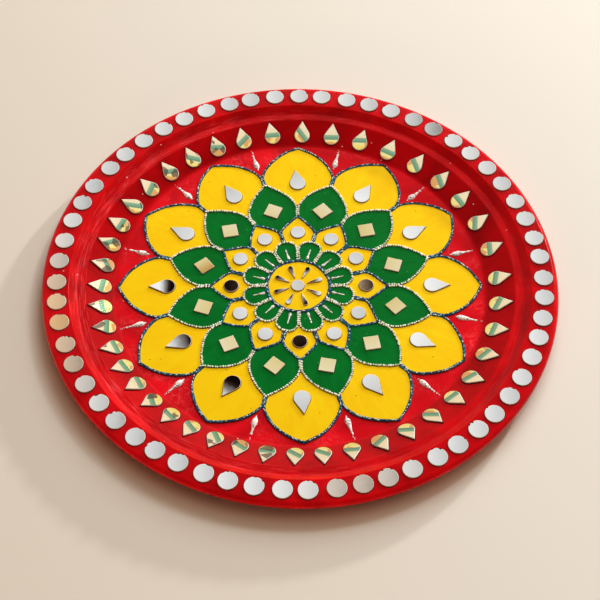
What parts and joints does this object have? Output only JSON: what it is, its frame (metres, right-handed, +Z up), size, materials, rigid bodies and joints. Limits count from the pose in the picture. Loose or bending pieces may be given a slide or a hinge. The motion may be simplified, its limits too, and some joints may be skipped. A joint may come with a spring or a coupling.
{
  "type": "decorative plate",
  "caption": "Shallow round metal plate with a rolled rim, a painted flower of petal rings with raised outlines, and glued mirror chips on floor, margin and rim.",
  "frame": {"origin": "centre of the flat base that the plate stands on", "axes": "+Z up out of the dish, +X to the right and +Y away from the viewer as pictured"},
  "size_m": [0.261, 0.261, 0.0104],
  "materials": {
    "red_enamel": "gloss",
    "yellow_paint": "satin",
    "green_paint": "satin",
    "blue_glitter": "glitter",
    "silver_glitter": "glitter",
    "silver_mirror": "polished",
    "gold_mirror": "polished",
    "foil_drop": "faceted foil"
  },
  "bodies": {
    "root": {"plate_blank": "red_enamel", "outer_petal_paint": "yellow_paint", "green_petal_paint": "green_paint", "small_petal_paint": "yellow_paint", "small_green_petal_paint": "green_paint", "centre_disc_paint": "yellow_paint", "outer_petal_outline": "blue_glitter", "green_petal_outline": "silver_glitter", "small_petal_outline": "blue_glitter", "small_green_petal_outline": "silver_glitter", "centre_disc_outline": "blue_glitter", "rim_mirror_ring": "silver_mirror", "margin_drop_ring": "foil_drop", "petal_drop_01": "silver_mirror", "petal_drop_02": "silver_mirror", "petal_drop_03": "silver_mirror", "petal_drop_04": "silver_mirror", "petal_drop_05": "silver_mirror", "petal_drop_06": "silver_mirror", "petal_drop_07": "silver_mirror", "petal_drop_08": "silver_mirror", "petal_drop_09": "silver_mirror", "petal_drop_10": "silver_mirror", "petal_drop_11": "silver_mirror", "petal_drop_12": "silver_mirror", "green_petal_square_01": "gold_mirror", "green_petal_square_02": "gold_mirror", "green_petal_square_03": "gold_mirror", "green_petal_square_04": "gold_mirror", "green_petal_square_05": "gold_mirror", "green_petal_square_06": "gold_mirror", "green_petal_square_07": "gold_mirror", "green_petal_square_08": "gold_mirror", "green_petal_square_09": "gold_mirror", "green_petal_square_10": "gold_mirror", "green_petal_square_11": "gold_mirror", "green_petal_square_12": "gold_mirror", "small_petal_round_01": "silver_mirror", "small_petal_round_02": "silver_mirror", "small_petal_round_03": "silver_mirror", "small_petal_round_04": "silver_mirror", "small_petal_round_05": "silver_mirror", "small_petal_round_06": "silver_mirror", "small_petal_round_07": "silver_mirror", "small_petal_round_08": "silver_mirror", "small_petal_round_09": "silver_mirror", "small_petal_round_10": "silver_mirror", "small_petal_round_11": "silver_mirror", "small_petal_round_12": "silver_mirror", "centre_round": "silver_mirror", "centre_sliver_01": "silver_mirror", "centre_sliver_02": "silver_mirror", "centre_sliver_03": "silver_mirror", "centre_sliver_04": "silver_mirror", "centre_sliver_05": "silver_mirror", "centre_sliver_06": "silver_mirror", "centre_sliver_07": "silver_mirror", "centre_sliver_08": "silver_mirror"}
  },
  "joints": []
}
